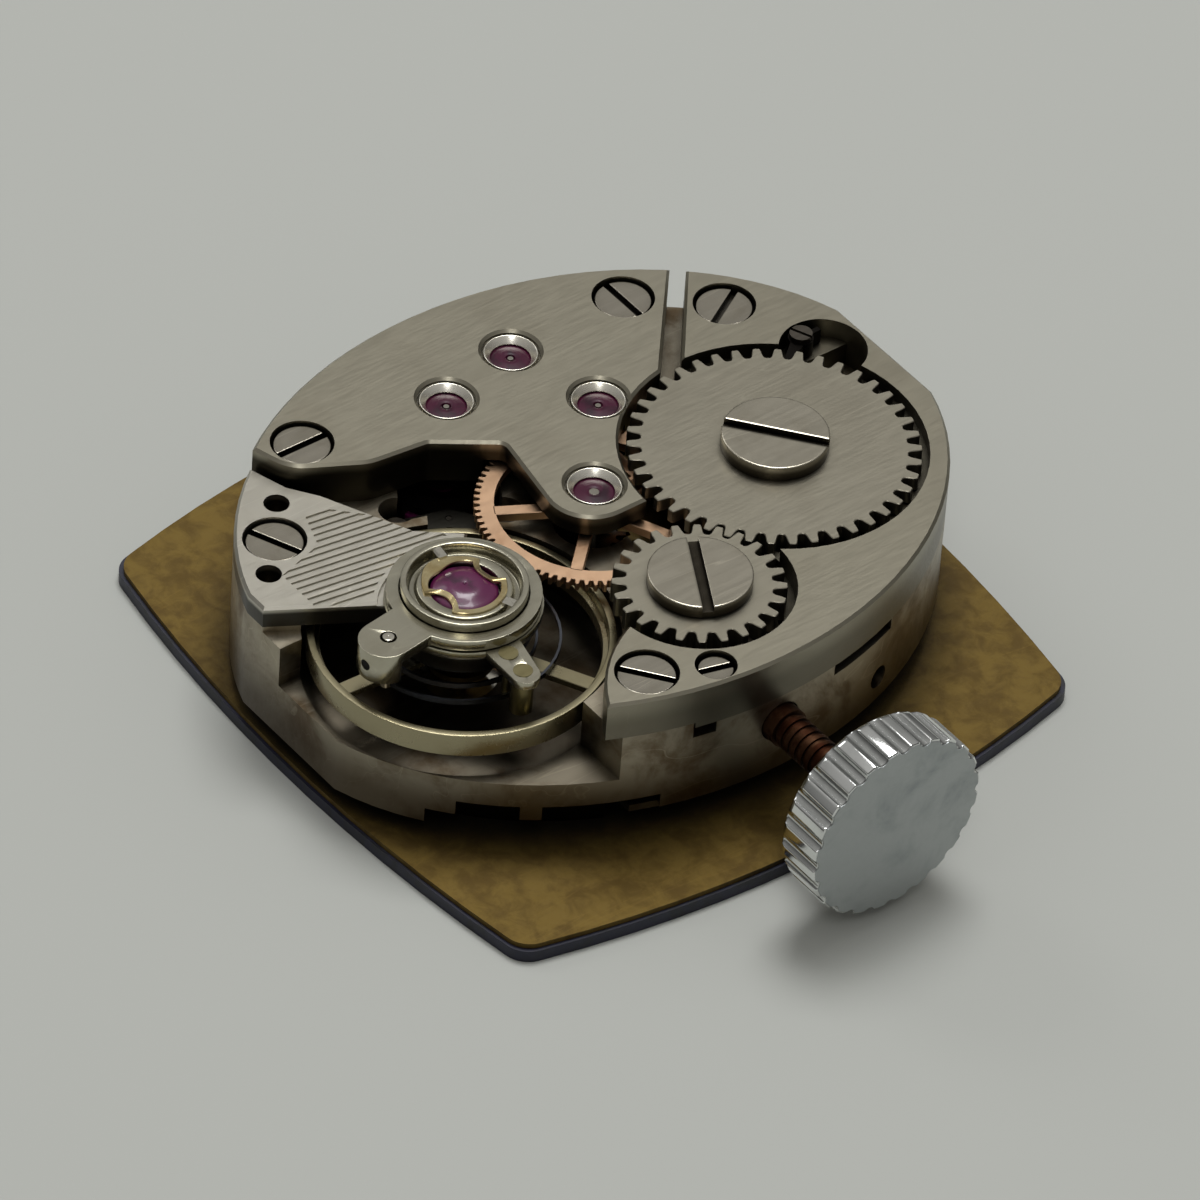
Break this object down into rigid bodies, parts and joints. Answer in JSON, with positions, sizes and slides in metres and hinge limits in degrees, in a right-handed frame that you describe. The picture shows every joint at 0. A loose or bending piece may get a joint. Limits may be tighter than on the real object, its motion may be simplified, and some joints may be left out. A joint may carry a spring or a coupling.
{
  "type": "mechanical watch movement",
  "caption": "Oval hand-wound watch movement on its cushion-shaped dial, with going train, lever escapement, balance, keyless work and fluted crown",
  "frame": {"origin": "on the centre wheel's axis, at the front face of the dial (z = 0)", "axes": "+X runs out along the winding stem to the crown, +Y runs towards the barrel, +Z runs from the dial towards the bridges"},
  "size_m": [0.0179, 0.0154, 0.0046],
  "materials": {
    "dial_white": "lacquered dial face",
    "dial_brass": "aged, finely scratched",
    "plate_nickel": "nickel-plated, worn",
    "bridge_nickel": "satin nickel plating",
    "cock_nickel": "satin nickel plating",
    "screw_steel": "polished steel",
    "setting_bright": "polished",
    "ruby": "polished synthetic ruby",
    "brass": "turned brass",
    "spring_steel": "polished spring steel",
    "steel": "ground steel",
    "wheel_steel": "satin steel",
    "rose_gilt": "rose-gilt brass",
    "balance_brass": "turned nickel brass",
    "gilt_spring": "gilt spring",
    "stem_steel": "steel with rust staining",
    "crown_chrome": "chromium plated, satin end face"
  },
  "bodies": {
    "movement": {"dial_face": "dial_white", "dial_back": "dial_brass", "main_plate": "plate_nickel", "train_bridge": "bridge_nickel", "barrel_bridge": "bridge_nickel", "balance_cock": "cock_nickel", "pallet_bridge": "cock_nickel", "bridge_screws": "screw_steel", "small_screws": "screw_steel", "setting_lever_screw": "screw_steel", "jewel_settings": "setting_bright", "train_jewels": "ruby", "lower_jewels": "ruby", "crown_wheel_screw": "screw_steel", "click_spring": "spring_steel", "yoke_spring": "spring_steel", "keyless_cover": "steel", "upper_shock_block": "setting_bright", "upper_cap_jewel": "ruby", "upper_shock_spring": "gilt_spring", "lower_shock_block": "setting_bright", "hairspring": "spring_steel"},
    "barrel": {"barrel_drum": "brass", "barrel_cover": "brass", "mainspring": "spring_steel"},
    "ratchet": {"ratchet_wheel": "wheel_steel", "barrel_arbor": "steel", "ratchet_screw": "screw_steel"},
    "crown_wheel_body": {"crown_wheel": "wheel_steel"},
    "click_body": {"click": "steel"},
    "centre": {"centre_wheel": "rose_gilt", "centre_arbor": "steel", "cannon_pinion": "steel"},
    "third_body": {"third_wheel": "rose_gilt", "third_arbor": "steel"},
    "fourth_body": {"fourth_wheel": "rose_gilt", "fourth_arbor": "steel"},
    "escape_body": {"escape_wheel": "steel", "escape_arbor": "steel"},
    "pallet_body": {"pallet_fork": "steel", "pallet_stones": "ruby"},
    "balance_body": {"balance_wheel": "balance_brass", "balance_staff": "steel", "roller": "brass", "impulse_jewel": "ruby", "hairspring_collet": "brass"},
    "regulator_body": {"regulator": "wheel_steel", "curb_pins": "brass"},
    "winding_body": {"winding_pinion": "steel"},
    "stem_body": {"winding_stem": "stem_steel", "crown": "crown_chrome"},
    "sliding_body": {"sliding_pinion": "steel"},
    "setting_lever_body": {"setting_lever": "steel"},
    "yoke_body": {"yoke": "steel"},
    "minute_body": {"minute_wheel": "brass"},
    "hour_body": {"hour_wheel": "brass"},
    "setting_wheel_body": {"setting_wheel": "brass"},
    "stud_carrier_body": {"stud_carrier": "wheel_steel", "stud": "setting_bright", "stud_screw": "screw_steel"}
  },
  "joints": [
    {"name": "escape_turn", "type": "hinge", "parent": "movement", "child": "escape_body", "pos_m": [-0.0038, -0.00092, 0.00215], "axis": [0, 0, 1], "continuous": true},
    {"name": "fourth_turn", "type": "hinge", "parent": "movement", "child": "fourth_body", "pos_m": [-0.00428, 0.00109, 0.00252], "axis": [0, 0, 1], "continuous": true},
    {"name": "third_turn", "type": "hinge", "parent": "movement", "child": "third_body", "pos_m": [-0.00209, 0.0017, 0.00296], "axis": [0, 0, 1], "continuous": true},
    {"name": "centre_turn", "type": "hinge", "parent": "movement", "child": "centre", "pos_m": [0, 0, 0.00342], "axis": [0, 0, 1], "continuous": true},
    {"name": "barrel_turn", "type": "hinge", "parent": "movement", "child": "barrel", "pos_m": [0.00111, 0.00379, 0.00136], "axis": [0, 0, 1], "continuous": true},
    {"name": "minute_turn", "type": "hinge", "parent": "movement", "child": "minute_body", "pos_m": [0.00096, -0.00166, 0.00146], "axis": [0, 0, 1], "continuous": true},
    {"name": "hour_turn", "type": "hinge", "parent": "movement", "child": "hour_body", "pos_m": [0, 0, 0.00072], "axis": [0, 0, 1], "continuous": true},
    {"name": "setting_wheel_turn", "type": "hinge", "parent": "movement", "child": "setting_wheel_body", "pos_m": [0.00233, -0.00015, 0.00146], "axis": [0, 0, 1], "continuous": true},
    {"name": "balance_swing", "type": "hinge", "parent": "movement", "child": "balance_body", "pos_m": [0.00115, -0.00418, 0.00258], "axis": [0, 0, 1], "range_deg": [-270, 270], "stiffness_Nm_per_rad": 0.000001, "deforming": ["hairspring"]},
    {"name": "pallet_swing", "type": "hinge", "parent": "movement", "child": "pallet_body", "pos_m": [-0.00219, -0.00198, 0.00215], "axis": [0, 0, 1], "range_deg": [-6, 6]},
    {"name": "winding_turn", "type": "hinge", "parent": "movement", "child": "winding_body", "pos_m": [0.0051, 0, 0.00246], "axis": [1, 0, 0], "continuous": true},
    {"name": "crown_wheel_turn", "type": "hinge", "parent": "movement", "child": "crown_wheel_body", "pos_m": [0.00359, -0.00008, 0.0037], "axis": [0, 0, 1], "continuous": true},
    {"name": "ratchet_turn", "type": "hinge", "parent": "movement", "child": "ratchet", "pos_m": [0.00111, 0.00379, 0.00388], "axis": [0, 0, 1], "continuous": true},
    {"name": "click_swing", "type": "hinge", "parent": "movement", "child": "click_body", "pos_m": [-0.00137, 0.00643, 0.00374], "axis": [0, 0, 1], "range_deg": [-8, 0], "stiffness_Nm_per_rad": 0.00001},
    {"name": "stem_pull", "type": "slide", "parent": "winding_body", "child": "stem_body", "axis": [1, 0, 0], "range_m": [0, 0.00035]},
    {"name": "sliding_pinion_slide", "type": "slide", "parent": "winding_body", "child": "sliding_body", "axis": [1, 0, 0], "range_m": [-0.00035, 0]},
    {"name": "setting_lever_swing", "type": "hinge", "parent": "movement", "child": "setting_lever_body", "pos_m": [0.00572, -0.00131, 0.00131], "axis": [0, 0, 1], "range_deg": [-15.43, 0]},
    {"name": "yoke_swing", "type": "hinge", "parent": "movement", "child": "yoke_body", "pos_m": [0.0039, -0.0022, 0.00131], "axis": [0, 0, 1], "range_deg": [0, 9.11]},
    {"name": "regulator_swing", "type": "hinge", "parent": "movement", "child": "regulator_body", "pos_m": [0.00115, -0.00418, 0.0038], "axis": [0, 0, 1], "range_deg": [-12, 12]},
    {"name": "stud_carrier_swing", "type": "hinge", "parent": "movement", "child": "stud_carrier_body", "pos_m": [0.00115, -0.00418, 0.004], "axis": [0, 0, 1], "range_deg": [-10, 10]}
  ],
  "couplings": [
    {"joint": "fourth_turn", "follows": "escape_turn", "ratio": -0.11111},
    {"joint": "third_turn", "follows": "escape_turn", "ratio": 0.013333},
    {"joint": "centre_turn", "follows": "escape_turn", "ratio": -0.0016667},
    {"joint": "barrel_turn", "follows": "escape_turn", "ratio": 0.00032407},
    {"joint": "minute_turn", "follows": "escape_turn", "ratio": 0.00055556},
    {"joint": "hour_turn", "follows": "escape_turn", "ratio": -0.00013889},
    {"joint": "setting_wheel_turn", "follows": "escape_turn", "ratio": -0.0013333},
    {"joint": "pallet_swing", "follows": "balance_swing", "ratio": 0.022222},
    {"joint": "crown_wheel_turn", "follows": "winding_turn", "ratio": -0.75},
    {"joint": "ratchet_turn", "follows": "winding_turn", "ratio": 0.42857},
    {"joint": "sliding_pinion_slide", "follows": "stem_pull", "ratio": -1},
    {"joint": "setting_lever_swing", "follows": "stem_pull", "rad_per_m": -769.68},
    {"joint": "yoke_swing", "follows": "stem_pull", "rad_per_m": 454.4}
  ]
}
